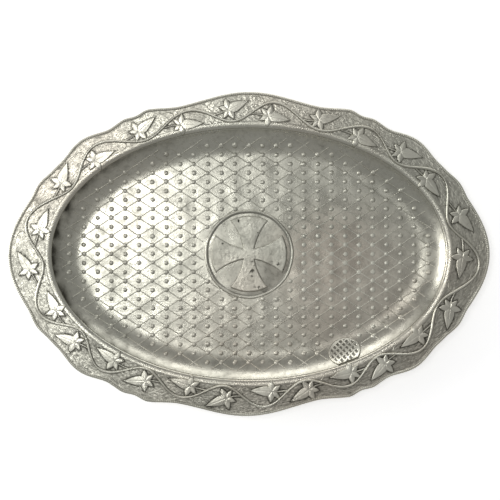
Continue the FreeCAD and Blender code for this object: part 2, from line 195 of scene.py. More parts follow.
# %% Mesh helpers
def squares(rows, columns, closed_rows, closed_columns, first=0):
    """Corner numbers of a grid's squares, one row of four for each, facing rows x columns."""
    row = np.arange(rows if closed_rows else rows - 1)[:, None]
    column = np.arange(columns if closed_columns else columns - 1)[None, :]
    next_row, next_column = (row + 1) % rows, (column + 1) % columns
    corners = [
        row * columns + column,
        next_row * columns + column,
        next_row * columns + next_column,
        row * columns + next_column,
    ]
    return np.stack([c + 0 * row + 0 * column for c in corners], -1).reshape(-1, 4) + first


def fan(centre, ring):
    """Triangles from a centre point to each pair of neighbours of a closed ring."""
    return np.stack([np.full(len(ring), centre), ring, np.roll(ring, -1)], -1)


def make_piece(name, points, faces, slot, finish, **values):
    """A smooth mesh from points in millimetres and arrays of faces; values become attributes."""
    mesh = bpy.data.meshes.new(name)
    corners = np.concatenate([f.ravel() for f in faces]).astype(np.int32)
    sizes = np.concatenate([np.full(len(f), f.shape[1]) for f in faces])
    mesh.vertices.add(len(points))
    mesh.vertices.foreach_set("co", (np.asarray(points) * MM).astype(np.float32).ravel())
    mesh.loops.add(len(corners))
    mesh.loops.foreach_set("vertex_index", corners)
    mesh.polygons.add(len(sizes))
    mesh.polygons.foreach_set("loop_start", (np.cumsum(sizes) - sizes).astype(np.int32))
    mesh.polygons.foreach_set("use_smooth", np.ones(len(sizes), bool))
    for key, value in values.items():
        data = mesh.attributes.new(key, "FLOAT", "POINT").data
        data.foreach_set("value", np.asarray(value, np.float32).ravel())
    mesh.update(calc_edges=True)
    mesh.validate()
    piece = bpy.data.objects.new(name, mesh)
    scene.collection.objects.link(piece)
    piece.data.materials.append(finish)
    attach(piece, ROOT)
    print(f"{name}: {len(points)} points, {len(sizes)} faces")
    return piece


def close_seams(piece):
    """Joins points that lie on each other, where separate grids meet, and faces all outwards."""
    shape = bmesh.new()
    shape.from_mesh(piece.data)
    bmesh.ops.remove_doubles(shape, verts=shape.verts, dist=0.002 * MM)
    bmesh.ops.recalc_face_normals(shape, faces=shape.faces)
    shape.to_mesh(piece.data)
    shape.free()


UP = np.array([0.0, 0.0, 1.0])


def sweep(middle, flat_side, profile):
    """Profile (across, up) carried along a path: middle + side x across + UP x up."""
    across, rise = profile[..., 0], profile[..., 1]
    side = np.concatenate([flat_side, np.zeros((len(flat_side), 1))], -1)
    return middle[:, None, :] + side[:, None, :] * across[..., None] + UP * rise[..., None]


def sides_of(path):
    """Unit x, y vectors square to a closed path, on its right-hand side as it runs."""
    return right_of(unit(np.roll(path, -1, 0) - np.roll(path, 1, 0)))


# %% [markdown]
# ## A little unevenness
#
# Cast pewter is never quite flat, and that makes its reflections swim. A sum of a few slow waves in
# random directions gives that. The waves are seeded, so the plate is the same every time.

# %% Slow waves for the metal
WAVE_WAYS = rng.uniform(0, 2 * np.pi, 14)
WAVE_LENGTHS = rng.uniform(16, 60, 14)
WAVE_STARTS = rng.uniform(0, 2 * np.pi, 14)


def unevenness(x, y):
    """Average of sines of the distance along random directions, each with its own wavelength."""
    phase = x[..., None] * np.cos(WAVE_WAYS) + y[..., None] * np.sin(WAVE_WAYS)
    return np.sin(phase * 2 * np.pi / WAVE_LENGTHS + WAVE_STARTS).mean(-1)


# %% [markdown]
# ## Pewter
#
# Pewter is a soft grey metal with a satin face. Polishing keeps the high places bright, and tarnish
# stays in the low ones. Each finish is one Principled shader. Its colour runs between dark tarnish
# and bright metal, following clouds of noise and the piece's own "tarnish" value, which on
# the pan and the border also holds painted shade. Roughness follows the same clouds, and the bump
# gives the casting's grain and the fine scratches of use.


# %% Node helpers
def add(tree, kind, **settings):
    """Adds a node. Names that match an input set or feed it, and the others set the node itself."""
    node = tree.nodes.new(kind)
    waiting = {}
    for key, value in settings.items():
        if hasattr(node, key):
            setattr(node, key, value)
        else:
            waiting[key.replace("_", " ")] = value
    for key, value in waiting.items():
        socket = node.inputs[int(key[1:])] if key[0] == "i" and key[1:].isdigit() else node.inputs[key]
        if isinstance(value, bpy.types.NodeSocket):
            tree.links.new(value, socket)
        else:
            socket.default_value = value
    return node


def calc(tree, operation, first, second=0.0, clamp=False):
    """One sum on numbers or sockets."""
    node = add(tree, "ShaderNodeMath", operation=operation, use_clamp=clamp, i0=first, i1=second)
    return node.outputs[0]


def steps(tree, value, low, high, from_low=0.0, to_high=1.0):
    """Smooth step: from_low below low, to_high above high."""
    node = add(tree, "ShaderNodeMapRange", interpolation_type="SMOOTHSTEP", i0=value, i1=low, i2=high)
    node.inputs[3].default_value = from_low
    node.inputs[4].default_value = to_high
    return node.outputs[0]


def clouds(tree, place, scale, detail=3.0, roughness=0.55):
    """Noise between 0 and 1 with so many clouds to a metre."""
    node = add(tree, "ShaderNodeTexNoise", Vector=place, Scale=scale, Detail=detail, Roughness=roughness)
    return node.outputs[0]


def blend(tree, amount, first, second):
    """Mixes two colours."""
    node = add(tree, "ShaderNodeMix", data_type="RGBA")
    for socket, value in ((0, amount), (6, first), (7, second)):
        if isinstance(value, bpy.types.NodeSocket):
            tree.links.new(value, node.inputs[socket])
        else:
            node.inputs[socket].default_value = value
    return node.outputs[2]


# Dark colour of tarnish; the same colour also paints shade on the pan and the border.
DARK_TARNISH_AND_SHADE = (0.07, 0.067, 0.054, 1)
METAL = (0.50, 0.495, 0.425, 1)
BRIGHT = (0.66, 0.65, 0.565, 1)
ROSY = (0.51, 0.455, 0.38, 1)


# %% The pewter finishes
def pewter(name, dark_from, rub=0.5, grain=0.35, rough=0.36, grain_scale=900.0, warm_from=None):
    """Pewter. dark_from and warm_from make 0 to 1 sockets from the tree and its place socket."""
    finish = bpy.data.materials.new(name)
    finish.use_nodes = True
    tree = finish.node_tree
    tree.nodes.clear()
    place = add(tree, "ShaderNodeTexCoord").outputs["Object"]
    wide = clouds(tree, place, 22.0, 3.0)
    middling = clouds(tree, place, 140.0, 4.0)
    fine = clouds(tree, place, grain_scale, 3.0, 0.65)
    scratches = add(
        tree, "ShaderNodeMapping", Vector=place, Rotation=(0, 0, 0.5), Scale=(1, 14, 1)
    ).outputs[0]
    scratched = clouds(tree, scratches, 260.0, 2.0, 0.5)
    dark = dark_from(tree, place)
    warm = steps(tree, clouds(tree, place, 9.0, 2.0), 0.42, 0.66, 0.0, 0.7)
    if warm_from:
        warm = calc(tree, "MAXIMUM", calc(tree, "MULTIPLY", warm, 0.5), warm_from(tree, place))
    spots = steps(tree, middling, 0.60, 0.78, 0.0, 0.28)
    dark = calc(tree, "ADD", dark, spots, clamp=True)
    shine = steps(tree, wide, 0.35, 0.68)
    metal = blend(tree, warm, METAL, ROSY)
    metal = blend(tree, calc(tree, "MULTIPLY", shine, rub), metal, BRIGHT)
    colour = blend(tree, dark, metal, DARK_TARNISH_AND_SHADE)
    roughness = steps(tree, middling, 0.25, 0.8, rough - 0.07, rough + 0.13)
    roughness = calc(tree, "ADD", roughness, calc(tree, "MULTIPLY", dark, 0.25), clamp=True)
    height = calc(tree, "ADD", fine, calc(tree, "MULTIPLY", scratched, 0.5))
    height = calc(tree, "SUBTRACT", height, calc(tree, "MULTIPLY", spots, 0.8))
    bump = add(tree, "ShaderNodeBump", Strength=grain, Distance=0.00025, Height=height).outputs[0]
    shader = add(tree, "ShaderNodeBsdfPrincipled", Base_Color=colour, Roughness=roughness, Normal=bump)
    shader.inputs["Metallic"].default_value = 1.0
    add(tree, "ShaderNodeOutputMaterial", Surface=shader.outputs[0])
    return finish


def tarnish_value(tree, place):
    """The piece's own tarnish, from 0 on high places to 1 in low ones; on the pan and the border it also
    holds painted shade.
    """
    return add(tree, "ShaderNodeAttribute", attribute_name="tarnish").outputs["Fac"]


border_pewter = pewter("border_pewter", tarnish_value, rub=0.4, rough=0.26, grain_scale=1300.0)
raised_pewter = pewter("raised_pewter", tarnish_value, rub=0.9, grain=0.22, rough=0.30)
wire_pewter = pewter("wire_pewter", tarnish_value, rub=0.9, grain=0.20, rough=0.34)
print("finishes:", ", ".join(m.name for m in bpy.data.materials))

# %% [markdown]
# ## The well and its chequered ground
#
# The well is one dished sheet. Its floor carries small domed studs on a rectangular grid, and fine
# ridges that join every second stud into diamonds. Each row of the pan's grid is a ring: the mouth
# ellipse, drawn in by as much as the cross-section says. The rows go from the middle of the floor
# up the wall, round the flange and back underneath.

# %% The pan's cross-section
PITCH_X, PITCH_Y = 6.98, 4.57


def wall_profile(turn):
    """How far in from the mouth, and how high over the floor, the wall is at a turn in radians."""
    inward = WALL_RUN * (1 - np.sin(turn) / math.sin(WALL_SWEEP))
    rise = (1 - np.cos(turn)) / (1 - math.cos(WALL_SWEEP))
    return inward, rise


def inward_of(x, y):
    """How far in from the mouth the drawn-in ellipse through x, y is, at most the wall's run.

    Halving the interval finds it: the ellipse's value at x, y grows as the ellipse is drawn in."""
    low, high = np.full(np.shape(x), -1.0), np.full(np.shape(x), WALL_RUN)
    for _ in range(28):
        half = (low + high) / 2
        outside = (x / (MOUTH_LONG - half)) ** 2 + (y / (MOUTH_SHORT - half)) ** 2 > 1
        low, high = np.where(outside, low, half), np.where(outside, half, high)
    return (low + high) / 2


def dents(x, y, inward):
    """Slow waves and shorter, shallower ones over them, none right under the lip."""
    return (0.10 * unevenness(x, y) + 0.15 * unevenness(3 * x + 9, 3 * y)) * np.clip(inward / 4, 0, 1)


def inside_height(x, y):
    """Level of the inside of the well at x, y: the floor, the curved wall and its dents."""
    inward = np.clip(inward_of(x, y), 0, WALL_RUN)
    turn = np.arcsin(np.clip(1 - inward / WALL_RUN, 0, 1) * math.sin(WALL_SWEEP))
    rise = (SEAT - FLOOR) * wall_profile(turn)[1]
    return FLOOR + rise + dents(x, y, inward)


def inside_normal(x, y):
    """Unit normal of the inside of the well, from the change of level over a short step."""
    step = 0.05
    dx = (inside_height(x + step, y) - inside_height(x - step, y)) / (2 * step)
    dy = (inside_height(x, y + step) - inside_height(x, y - step)) / (2 * step)
    return unit(np.stack([-dx, -dy, np.ones_like(dx)], -1))


# %% The finish of the well
def well_tarnish(tree, place):
    """The pan's painted shade from its own attribute, with faint soft patches and fine grains of tarnish
    over it.
    """
    patches = steps(tree, clouds(tree, place, 60.0, 4.0, 0.6), 0.52, 0.76, 0.0, 0.10)
    grains = steps(tree, clouds(tree, place, 520.0, 4.0, 0.7), 0.46, 0.68, 0.0, 0.20)
    return calc(tree, "ADD", calc(tree, "ADD", patches, grains), tarnish_value(tree, place), clamp=True)


def rosy_patch(tree, place):
    """Rosy cast of the most rubbed part of the floor, right of the cross."""
    away = add(tree, "ShaderNodeVectorMath", operation="DISTANCE", i0=place, i1=(0.048, -0.016, 0.002))
    return steps(tree, away.outputs["Value"], 0.012, 0.055, 1.0, 0.0)


well_pewter = pewter("well_pewter", well_tarnish, 0.4, grain=0.18, rough=0.27, warm_from=rosy_patch)
stud_pewter = pewter("stud_pewter", tarnish_value, rub=0.8, grain=0.12, rough=0.42)

# %% The pan
COLUMNS = 480
FLANGE_THICK, CORNER, SHELL_GAP = 1.4, 0.2, 0.15
turns = np.linspace(0, 1, 27)[1:] * WALL_SWEEP
inward, rise = wall_profile(turns)
in_rings = [(WALL_RUN, FLOOR)] + list(zip(inward, FLOOR + (SEAT - FLOOR) * rise))
out_inward, out_rise = wall_profile(np.linspace(1, 0, 18) * WALL_SWEEP)
under = SEAT - FLANGE_THICK
shell = [(i - FLOOR, SEAT * r) for i, r in zip(out_inward, out_rise) if SEAT * r < under - 0.1]
rings = in_rings + [(CORNER - FLANGE, SEAT), (-FLANGE, SEAT - CORNER), (-FLANGE, under + CORNER)]
rings += [(CORNER - FLANGE, under), (shell[0][0] - SHELL_GAP, under)] + shell
floor_shares = np.linspace(0, 1, 81)[1:-1]
under_shares = np.linspace(1, 0, 12)[1:-1]


def pan_points():
    """Rings from the middle of the floor round to the middle of the underside, and both middles."""
    angle = np.linspace(0, 2 * np.pi, COLUMNS, endpoint=False)
    circle = np.stack([np.cos(angle), np.sin(angle)], -1)
    core = np.array([MOUTH_LONG - WALL_RUN, MOUTH_SHORT - WALL_RUN])
    rows = []
    for share in floor_shares:
        rows.append((circle * core * share, FLOOR))
    for drawn_in, level in rings:
        rows.append((circle * (np.array([MOUTH_LONG, MOUTH_SHORT]) - drawn_in), level))
    foot = np.array([MOUTH_LONG, MOUTH_SHORT]) - rings[-1][0]
    for share in under_shares:
        rows.append((circle * foot * share, 0.0))
    grid = np.array([np.column_stack([xy, np.full(COLUMNS, level)]) for xy, level in rows])
    inner = len(floor_shares) + len(in_rings)
    x, y = grid[:inner, :, 0], grid[:inner, :, 1]
    grid[:inner, :, 2] += dents(x, y, inward_of(x, y))
    return grid


def pan_painted_shade(x, y):
    """Painted shade: mottled under the lip at the left end, at the foot of the wall towards the lower
    right, and round the foot of the cross, deeper at its lower right.
    """
    under_lip = np.exp(-np.clip(inward_of(x, y), 0, None) / 2.4) * np.clip(-x / MOUTH_LONG - 0.30, 0, 0.7)
    blotches = np.clip(1 + 2.4 * unevenness(4 * x, 4 * y), 0, 2)
    by_cross = np.clip((22.2 - np.hypot(x, y)) / 0.8, 0, 1) * np.clip(0.16 + 0.012 * (x - y), 0, 0.45)
    wall_foot = np.exp(-(((inward_of(x, y) - 9.5) / 3.6) ** 2)) * np.clip(x / 100 - y / 90, 0, 0.6)
    return np.clip(1.1 * under_lip * blotches + by_cross + 0.42 * wall_foot, 0, 1)


pan_grid = pan_points()
pan_rows = len(pan_grid)
middles = np.array([[0, 0, inside_height(np.zeros(1), np.zeros(1))[0]], [0, 0, 0]])
pan_faces = [
    squares(pan_rows, COLUMNS, False, True),
    fan(pan_rows * COLUMNS, np.arange(COLUMNS)),
    fan(pan_rows * COLUMNS + 1, (pan_rows - 1) * COLUMNS + np.arange(COLUMNS)[::-1]),
]
pan = make_piece(
    "pewter_pan", np.concatenate([pan_grid.reshape(-1, 3), middles]), pan_faces, "well",
    well_pewter,
    tarnish=np.concatenate([pan_painted_shade(pan_grid[..., 0], pan_grid[..., 1]).ravel(), [0.2, 0.2]])
)
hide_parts("well")

# %% [markdown]
# ## Studs
#
# Each stud is a low dome that a punch raised. There are hundreds, so one stud has only a few dozen
# faces: a template of five rings and a middle point is copied to every place of the grid at once,
# and each copy leans with the wall it stands on. Polishing has worn those in one part of the floor.

# %% Where the pattern is, and how worn
RING_OUTSIDE = 23.0
PLAQUE_LONG, PLAQUE_SHORT = 8.2, 6.6
plaque_middle = np.mean(box_mm("mark_plaque"), axis=0)


def clear_of_ornaments(x, y, margin):
    """True inside the well's mouth and outside the ring and the plaque, by a margin."""
    inside = inward_of(x, y) > 0.9 + margin
    off_ring = np.hypot(x, y) > RING_OUTSIDE + margin
    from_plaque_x = (x - plaque_middle[0]) / PLAQUE_LONG
    from_plaque_y = (y - plaque_middle[1]) / (PLAQUE_SHORT + 0.6)
    off_plaque = np.hypot(from_plaque_x, from_plaque_y) > 1 + margin / 8
    return inside & off_ring & off_plaque


def wear(x, y):
    """How much of the pattern's height is left: 1 mostly, and next to nothing right of the middle."""
    rubbed = np.exp(-(((x - 46) / 30) ** 4) - ((y + 6) / 20) ** 4)
    return (1 - 0.92 * rubbed) * (1 + 0.35 * unevenness(2.3 * x, 2.3 * y))


# %% The studs
STUD_SIDES = 10
across = np.arange(-15, 16)[:, None] * PITCH_X
along = np.arange(-15, 16)[None, :] * PITCH_Y
stud_x, stud_y = (across + 0 * along).ravel(), (along + 0 * across).ravel()
keep = clear_of_ornaments(stud_x, stud_y, 0.55) & (inward_of(stud_x, stud_y) > 6.0)
stud_x, stud_y = stud_x[keep], stud_y[keep]
stud_x = stud_x + rng.normal(0, 0.10, len(stud_x))
stud_y = stud_y + rng.normal(0, 0.10, len(stud_y))
ring_turn = np.linspace(0, 2 * np.pi, STUD_SIDES, endpoint=False)
# Each ring of the template: reach from the middle, and height.
STUD_RINGS = ((0.58, 0.40), (0.86, 0.26), (1.06, 0.06), (1.25, 0.01), (1.30, -0.15))
ring_reach, ring_lift = np.array(STUD_RINGS).T
dot_rings = np.stack([np.cos(ring_turn), np.sin(ring_turn)], -1) * ring_reach[:, None, None]
template_xy = np.concatenate([[[0.0, 0.0]], dot_rings.reshape(-1, 2)])
template_lift = np.append(0.43, np.repeat(ring_lift, STUD_SIDES))
stud_tarnish = np.interp(template_lift, (0.0, 0.08, 0.28), (0.10, 0.20, 0.0))
size = (1 + rng.normal(0, 0.05, len(stud_x)))[:, None]
stud_points_x = stud_x[:, None] + template_xy[:, 0] * size
stud_points_y = stud_y[:, None] + template_xy[:, 1] * size
leftover = np.clip(wear(stud_x, stud_y) * (1 + rng.normal(0, 0.12, len(stud_x))), 0.05, 1.25)
lifts = np.where(template_lift > 0, template_lift * leftover[:, None], template_lift)
ground = np.stack([stud_points_x, stud_points_y, inside_height(stud_points_x, stud_points_y)], -1)
leans = inside_normal(stud_x, stud_y)[:, None, :]
stud_points = ground + leans * lifts[..., None]
one = [fan(0, 1 + np.arange(STUD_SIDES))]
one.append(squares(len(STUD_RINGS), STUD_SIDES, False, True, 1).reshape(-1, 4))
last_ring = 1 + (len(STUD_RINGS) - 1) * STUD_SIDES + np.arange(STUD_SIDES)
offsets = np.arange(len(stud_x))[:, None, None] * len(template_xy)
stud_faces = [(f[None] + offsets).reshape(-1, f.shape[1]) for f in one]
stud_faces.append((last_ring[::-1][None, None] + offsets).reshape(-1, STUD_SIDES))
make_piece(
    "studs", stud_points.reshape(-1, 3), stud_faces, "well", stud_pewter,
    tarnish=np.tile(stud_tarnish, len(stud_x))
)
print(f"{len(stud_x)} studs")

# %% [markdown]
# ## Diamond ridges
#
# The ridges are two families of straight lines. Each is a low bar, sunk a little into the pan so
# that it has no open edge. A line is sampled from end to end, and where it meets the lip, the ring
# or the plaque it dips under the surface and is capped. One mask of kept samples says which
# squares and which end caps of the whole family are wanted.

# %% The ridges
RIDGE_SAMPLES = 360
RIDGE_PROFILE = np.array([(-0.34, -0.08), (-0.15, 0.16), (0.0, 0.23), (0.15, 0.16), (0.34, -0.08)])
RISE_PER_RUN = PITCH_Y / PITCH_X


def ridge_family(sign):
    """Lines y = sign x slope x + 2 k pitch, as points (line, sample, profile, 3) and a keep mask."""
    numbers = np.arange(-16, 17)[:, None]
    x = np.linspace(-MOUTH_LONG, MOUTH_LONG, RIDGE_SAMPLES)[None, :] + 0 * numbers
    y = sign * RISE_PER_RUN * x + 2 * PITCH_Y * numbers
    wobble = 0.10 * unevenness(3 * x + 40 * numbers, 3 * y)
    way = np.array([1, sign * RISE_PER_RUN]) / math.hypot(1, RISE_PER_RUN)
    side = right_of(way)
    x, y = x + wobble * side[0], y + wobble * side[1]
    kept = clear_of_ornaments(x, y, 0.0) & (inward_of(x, y) > 3.2)
    height = np.clip(wear(x, y), 0.06, 1.1) * (0.8 + 0.5 * unevenness(5 * x, 5 * y + 9 * numbers))
    near_stud = np.hypot(x - PITCH_X * np.round(x / PITCH_X), y - PITCH_Y * np.round(y / PITCH_Y))
    height = height * np.clip((near_stud - 0.7) / 0.8, 0.25, 1)
    end = kept & ~(np.roll(kept, 1, 1) & np.roll(kept, -1, 1))
    height = np.where(end, -0.6, height)
    px = x[..., None] + side[0] * RIDGE_PROFILE[:, 0]
    py = y[..., None] + side[1] * RIDGE_PROFILE[:, 0]
    lift = np.where(RIDGE_PROFILE[:, 1] > 0, RIDGE_PROFILE[:, 1] * height[..., None], RIDGE_PROFILE[:, 1])
    return np.stack([px, py, inside_height(px, py) + lift], -1), kept


ridge_points, ridge_faces, ridge_caps, first = [], [], [], 0
for sign in (1, -1):
    grid, kept = ridge_family(sign)
    lines, count, ring = grid.shape[:3]
    ids = first + np.arange(lines * count * ring).reshape(lines, count, ring)
    pairs = kept[:, :-1] & kept[:, 1:]
    one_line = squares(count, ring, False, True).reshape(count - 1, ring, 4)[..., ::-1]
    ridge_faces.append((one_line + ids[:, :1, :1, None])[pairs].reshape(-1, 4))
    ridge_caps.append(ids[:, :-1][pairs & ~np.roll(pairs, 1, 1)][:, ::-1])
    ridge_caps.append(ids[:, 1:][pairs & ~np.roll(pairs, -1, 1)])
    ridge_points.append(grid.reshape(-1, 3))
    first += ids.size
used, renumbered = np.unique(np.concatenate(ridge_faces), return_inverse=True)
make_piece(
    "diamond_ridges", np.concatenate(ridge_points)[used],
    [renumbered.reshape(-1, 4), np.searchsorted(used, np.concatenate(ridge_caps))], "well",
    stud_pewter, tarnish=np.zeros(len(used))
)

# %% [markdown]
# ## The vine's path
#
# The stem waves once in and once out for each pair of leaves. Its crests stand where the maker put
# them, not quite evenly. Between two crests the stem swings in and out as a cosine.

# %% Where the vine runs
WAVES = 13
CREST_SHIFTS = np.array((-11, -16, -4, 2, 16, 19, 13, 2, -2, -2, -2, -10, -8)) / 100


def crest_place(number):
    """Length along the mouth of a crest."""
    number = np.asarray(number)
    return (number + 0.96 + CREST_SHIFTS[number % WAVES]) * GIRTH / WAVES


def stem_place(number, share):
    """The stem a share of the way from a crest to the next: its x, y and how far out it is."""
    along = crest_place(number) * (1 - share) + crest_place(number + 1) * share
    angle = angle_at(along)
    out = (0.20 + 0.57 * (1 + np.cos(2 * np.pi * share)) / 2) * border_width(angle)
    return mouth(angle, out), out


WAVE_SAMPLES = 80
wave_number = np.repeat(np.arange(WAVES), WAVE_SAMPLES)
wave_share = np.tile(np.arange(WAVE_SAMPLES) / WAVE_SAMPLES, WAVES)
stem_xy, stem_out = stem_place(wave_number, wave_share)

# %% [markdown]
# ## Ivy leaves
#
# A leaf has a long pointed lobe in front and two pairs of short pointed lobes behind. The outline
# is drawn with points and bulges, like the CAD leaf. Rings of the same outline, each smaller than
# the last, climb from the edge to the middle. The climb is steep at first and then flat, which
# gives the leaf a crisp edge and a nearly flat top. The stalk is a thin half-round rod that leaves
# the leaf straight back and bends to the stem.

# %% The leaf's outline
UNIT = 14.3
LEAF_POINTS = ((0.78, 0.0), (0.22, 51.0), (0.40, 84.0), (0.20, 116.0), (0.36, 143.0), (0.16, 180.0))
LEAF_BULGES = (0.042, 0.018, 0.020, 0.014, 0.016)
ARC_SAMPLES = 12


def turned(way, degrees):
    """A flat direction turned by an angle."""
    c, s = math.cos(math.radians(degrees)), math.sin(math.radians(degrees))
    return np.array([way[0] * c - way[1] * s, way[0] * s + way[1] * c])


def bowed(start, end, bulge, skew, count):
    """Points from start towards end, standing bulge off the chord's right at most.

    The bow is share to one power times the rest to another, and skew puts its top off the middle."""
    share = np.arange(count)[:, None] / count
    chord = end - start
    side = unit(right_of(chord))
    rise, fall = 1 + skew, 1 - skew
    bow = share**rise * (1 - share) ** fall / ((rise / 2) ** rise * (fall / 2) ** fall)
    return start + chord * share + side * bulge * bow


def leaf_outline():
    """Closed outline round the leaf's middle, tip along +x, counter-clockwise, in millimetres."""
    left = [turned((reach * UNIT, 0), angle) for reach, angle in LEAF_POINTS]
    right = [np.array([p[0], -p[1]]) for p in left]
    corners = left + right[-2:0:-1]
    bulges = LEAF_BULGES + LEAF_BULGES[::-1]
    parts = []
    skews = {0: 0.3, len(bulges) - 1: -0.3}
    for k, bulge in enumerate(bulges):
        start, end = corners[k], corners[(k + 1) % len(corners)]
        parts.append(bowed(start, end, bulge * UNIT, skews.get(k, 0.0), ARC_SAMPLES))
    return np.concatenate(parts)


# %% Leaf blades
OUTLINE = leaf_outline()
LEAF_TOP, EDGE_ROUND, CREASE, VEIN, SINK = 1.05, 0.40, 0.05, 0.05, 0.12
SHRINKS = np.array([1.0, 0.985, 0.96, 0.92, 0.86, 0.79, 0.70, 0.60, 0.49, 0.37, 0.25, 0.12])


def blade_levels():
    """Height of each ring's points over the border: an arch near the edge, then a slow dome.

    A crease runs from each notch to the middle, and a fine vein runs along the front lobe."""
    places = OUTLINE[None] * SHRINKS[:, None, None]
    flat = places.reshape(-1, 2)
    edge = np.linalg.norm(flat[:, None] - OUTLINE[None], axis=-1).min(1).reshape(places.shape[:2])
    arch = np.sqrt(1 - (1 - np.clip(edge / EDGE_ROUND, 0, 1)) ** 2)
    level = LEAF_TOP * (0.90 * arch + 0.10 * np.clip(edge / 2.2, 0, 1))
    for reach, angle in LEAF_POINTS[1::2]:
        for sign in (1, -1):
            notch = turned((1.0, 0.0), sign * angle)
            along = np.clip(places @ notch, 0, reach * UNIT)
            away = np.linalg.norm(places - along[..., None] * notch, axis=-1)
            level -= CREASE * np.exp(-((away / 0.32) ** 2)) * arch
    vein = np.exp(-((places[..., 1] / 0.25) ** 2)) * (places[..., 0] > 0.5) * arch
    return np.clip(level - VEIN * vein, 0, None)


BLADE_LEVELS = blade_levels()


def on_border(xy):
    """Level of the border's surface at x, y."""
    return border_height(out_from_mouth(np.asarray(xy)))


def leaf_blade(middle, tip_way):
    """Rings of the outline drawn in towards the middle and lifted, with a flat bottom sunk in."""
    outline = OUTLINE @ np.stack([tip_way, turned(tip_way, 90)])
    xy = middle + outline[None] * np.concatenate([[0.99], SHRINKS])[:, None, None]
    level = np.concatenate([np.full((1, len(outline)), -SINK), BLADE_LEVELS])
    points = np.concatenate([xy, (on_border(xy) + level)[..., None]], -1)
    centre = np.append(middle, on_border(middle) + BLADE_LEVELS[-1].mean())
    foot = np.append(middle, on_border(middle) - SINK)
    tarnish = np.clip(1.0 - level / (0.45 * LEAF_TOP), 0, 1) * 0.9
    return points, centre, foot, np.concatenate([tarnish.ravel(), [0.1, 1.0]])


def leaf_faces():
    """Faces of the rings, of the middle of the top and of the flat bottom."""
    rows, columns = len(SHRINKS) + 1, len(OUTLINE)
    top = fan(rows * columns, (rows - 1) * columns + np.arange(columns))
    bottom = fan(rows * columns + 1, np.arange(columns)[::-1])
    return [squares(rows, columns, False, True)[:, ::-1], top, bottom]


# %% Thin rods for the stalks and the tendrils
def bent_rod(start, bend, end, steps, profile, taper_from=1.0):
    """Rod on the border along start (1-t)^2 + 2 bend t (1-t) + end t^2.

    Past taper_from of its length it thins towards its end, down to a fifth."""
    share = np.linspace(0, 1, steps)[:, None]
    line = start * (1 - share) ** 2 + 2 * bend * share * (1 - share) + end * share**2
    side = right_of(unit(np.gradient(line, axis=0)))
    thick = np.clip((1 - share) / (1 - taper_from), 0.2, 1) if taper_from < 1 else 1 + 0 * share
    middle = np.column_stack([line, on_border(line)])
    return sweep(middle, side, profile[None] * thick[..., None]).reshape(-1, 3)


def rod_faces(steps, ring, first):
    """Faces round a rod whose points start at number first, and its two end caps."""
    ring_ids = np.arange(ring)
    caps = np.array([ring_ids[::-1], (steps - 1) * ring + ring_ids]) + first
    return [squares(steps, ring, False, True, first)[:, ::-1], caps]


STALK_STEPS = 12
STALK_TURNS = np.linspace(0, np.pi, 7)
STALK_PROFILE = np.stack([-0.42 * np.cos(STALK_TURNS), 0.72 * np.sin(STALK_TURNS) - 0.10], -1)
STALK_TARNISH = np.tile([0.8, 0.32, 0, 0, 0, 0.32, 0.8], STALK_STEPS)

# %% Lay the leaves
OUTER = {"ahead": 0.04, "out": 0.54, "turn": 21.0, "stalk_to": 0.23}
INNER = {"ahead": 0.09, "out": 0.36, "turn": -7.0, "stalk_to": 0.30}
leaf_edges = []


def lay_leaf(number, outer):
    """Leaf outside the trough that follows crest number, or inside that crest."""
    kind = OUTER if outer else INNER
    here, after = crest_place(number), crest_place(number + 1)
    home = (here + after) / 2 if outer else here
    angle = float(angle_at(home + kind["ahead"] * (after - here)))
    middle = mouth(angle, kind["out"] * border_width(angle))
    back_along = unit(mouth(angle - 1) - mouth(angle + 1))
    tip_way = turned(back_along, kind["turn"] + rng.normal(0, 1.5))
    joint = home + kind["stalk_to"] * (after - here)
    before = number if joint < after else number + 1
    start, stop = crest_place(before), crest_place(before + 1)
    end = stem_place(before, (joint - start) / (stop - start))[0]
    points, centre, foot, tarnish = leaf_blade(middle, tip_way)
    blade = np.concatenate([points.reshape(-1, 3), centre[None], foot[None]])
    root = middle - tip_way * 0.09 * UNIT
    bend = root - tip_way * np.linalg.norm(end - root) * 0.5
    rod = bent_rod(root, bend, end, STALK_STEPS, STALK_PROFILE)
    leaf_edges.append(points[1, :, :2])
    leaf_edges.append(rod[:, :2])
    name = f"{'outer' if outer else 'inner'}_leaf_{number + 1:02d}"
    piece = make_piece(
        "ivy_" + name, np.concatenate([blade, rod]),
        leaf_faces() + rod_faces(STALK_STEPS, len(STALK_PROFILE), len(blade)), "leaf",
        raised_pewter, tarnish=np.concatenate([tarnish, STALK_TARNISH])
    )
    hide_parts(name)


for number in range(WAVES):
    lay_leaf(number, True)
    lay_leaf(number, False)

# %% [markdown]
# ## The stem
#
# The stem is a half-round rod laid on the border. A half-round profile is carried along the wave,
# square to it, with its flat side sunk just under the surface.

# %% The stem
STEM_TURNS = np.linspace(0, np.pi, 11)
STEM_PROFILE = np.stack([-0.75 * np.cos(STEM_TURNS), 1.25 * np.sin(STEM_TURNS) ** 0.8 - 0.15], -1)
stem_side = sides_of(stem_xy)
thick = 1 + 0.10 * np.sin(wave_share * 4 * np.pi + wave_number)
stem_profiles = STEM_PROFILE[None] * np.stack([thick, np.ones_like(thick)], -1)[:, None, :]
stem_points = sweep(np.column_stack([stem_xy, border_height(stem_out)]), stem_side, stem_profiles)
stem_tarnish = np.clip(1.0 - STEM_PROFILE[:, 1] / 0.55, 0, 1)
stem = make_piece(
    "vine_rod", stem_points.reshape(-1, 3),
    [squares(len(stem_xy), len(STEM_PROFILE), True, True)[:, ::-1]], "vine", raised_pewter,
    tarnish=np.tile(stem_tarnish, len(stem_xy))
)
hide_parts("vine_stem")

# %% [markdown]
# ## Tendrils
#
# Thin shoots leave the stem and hook round the tips of the leaves. Each is a short rod along a
# curve with one bend, and it thins over the last third of its length.

